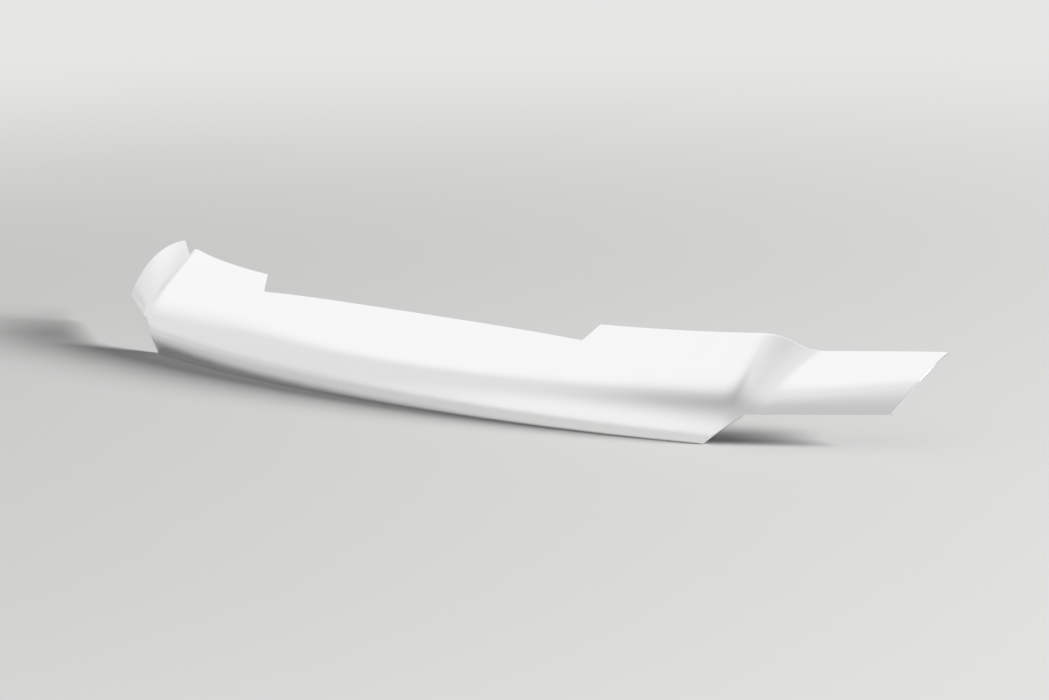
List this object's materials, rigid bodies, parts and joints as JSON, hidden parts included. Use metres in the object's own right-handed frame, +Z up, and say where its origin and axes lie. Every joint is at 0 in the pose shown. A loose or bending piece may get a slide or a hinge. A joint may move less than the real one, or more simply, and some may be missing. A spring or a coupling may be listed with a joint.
{
  "type": "hood bug deflector",
  "caption": "Low wraparound hood shield for a pickup: one formed plastic sheet with a chrome finish, a notched rear edge and swept side wings, held by foam tape.",
  "frame": {"origin": "the middle of the lower lip, at its inner face, on the plane of symmetry, where the shield is set against the hood's front edge", "axes": "+X to the vehicle's left, -Y to its front, +Z up, as the shield sits on the hood"},
  "size_m": [1.6034, 0.3312, 0.146],
  "materials": {
    "chrome_plastic": "mirror",
    "foam_tape": "closed-cell foam"
  },
  "bodies": {
    "root": {"shield": "chrome_plastic", "tape_lip_left": "foam_tape", "tape_lip_right": "foam_tape", "tape_rear_middle": "foam_tape", "tape_rear_left": "foam_tape", "tape_rear_right": "foam_tape", "tape_wing_rear_left": "foam_tape", "tape_wing_rear_right": "foam_tape", "tape_wing_front_left": "foam_tape", "tape_wing_front_right": "foam_tape"}
  },
  "joints": []
}
